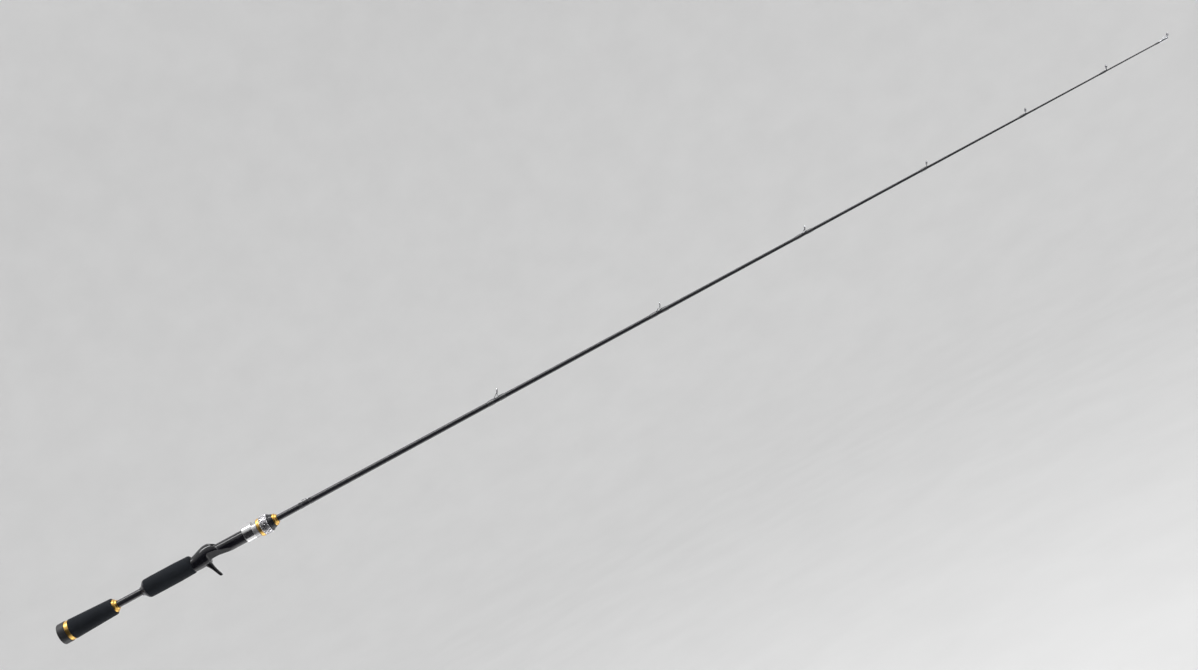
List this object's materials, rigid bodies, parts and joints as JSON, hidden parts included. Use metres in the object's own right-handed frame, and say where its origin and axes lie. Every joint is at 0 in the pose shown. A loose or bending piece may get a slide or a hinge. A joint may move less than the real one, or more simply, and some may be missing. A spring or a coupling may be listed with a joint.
{
  "type": "casting fishing rod",
  "caption": "One-piece trigger casting rod with a split foam grip, a screw-locking reel seat, a hook keeper, line guides and a tip-top on a tapered hollow blank.",
  "frame": {"origin": "centre of the butt cap's flat end, on the blank's axis", "axes": "+X along the blank to the tip, +Z to the side of the reel and the line guides, +Y to the left of a user looking at the tip with the reel up; the trigger points to -Z"},
  "size_m": [1.8293, 0.0316, 0.0512],
  "materials": {
    "carbon_blank": "clear gloss over rolled carbon",
    "butt_rubber": "satin moulded rubber",
    "gold_metal": "polished, gold anodised",
    "eva_foam": "matte closed-cell foam",
    "dark_collar": "glossy gunmetal",
    "seat_polymer": "gloss black moulding",
    "arbor_foam": "rigid foam bushing",
    "hood_polymer": "satin grey moulding",
    "hood_steel": "polished stainless steel",
    "nut_polymer": "satin black moulding",
    "knurled_metal": "cross-cut silver",
    "frame_steel": "polished wire and sheet",
    "wrap_thread": "thread under epoxy",
    "ring_ceramic": "hard polished ceramic"
  },
  "bodies": {
    "rod": {"blank": "carbon_blank", "butt_cap": "butt_rubber", "butt_trim_ring": "gold_metal", "rear_grip": "eva_foam", "rear_winding_check": "gold_metal", "main_grip_collar": "dark_collar", "main_grip": "eva_foam", "reel_seat_body": "seat_polymer", "seat_arbors": "arbor_foam", "front_winding_check": "gold_metal", "hook_keeper": "frame_steel", "hook_keeper_wraps": "wrap_thread", "guide_1_frame": "frame_steel", "guide_1_ring": "ring_ceramic", "guide_1_wraps": "wrap_thread", "guide_2_frame": "frame_steel", "guide_2_ring": "ring_ceramic", "guide_2_wraps": "wrap_thread", "guide_3_frame": "frame_steel", "guide_3_ring": "ring_ceramic", "guide_3_wraps": "wrap_thread", "guide_4_frame": "frame_steel", "guide_4_ring": "ring_ceramic", "guide_4_wraps": "wrap_thread", "guide_5_frame": "frame_steel", "guide_5_ring": "ring_ceramic", "guide_5_wraps": "wrap_thread", "guide_6_frame": "frame_steel", "guide_6_ring": "ring_ceramic", "guide_6_wraps": "wrap_thread", "tip_top_frame": "frame_steel", "tip_top_ring": "ring_ceramic", "tip_top_wrap": "wrap_thread"},
    "hood": {"sliding_hood": "hood_polymer", "hood_cover": "hood_steel"},
    "nut": {"lock_nut": "nut_polymer", "nut_trim_ring": "gold_metal", "nut_knurled_ring": "knurled_metal"}
  },
  "joints": [
    {"name": "hood_slide", "type": "slide", "parent": "rod", "child": "hood", "axis": [1, 0, 0], "range_m": [-0.0145, 0]},
    {"name": "nut_spin", "type": "hinge", "parent": "hood", "child": "nut", "pos_m": [0.336, 0, 0], "axis": [1, 0, 0], "range_deg": [-2610, 0]}
  ],
  "couplings": [
    {"joint": "nut_spin", "follows": "hood_slide", "rad_per_m": 3141.6}
  ]
}
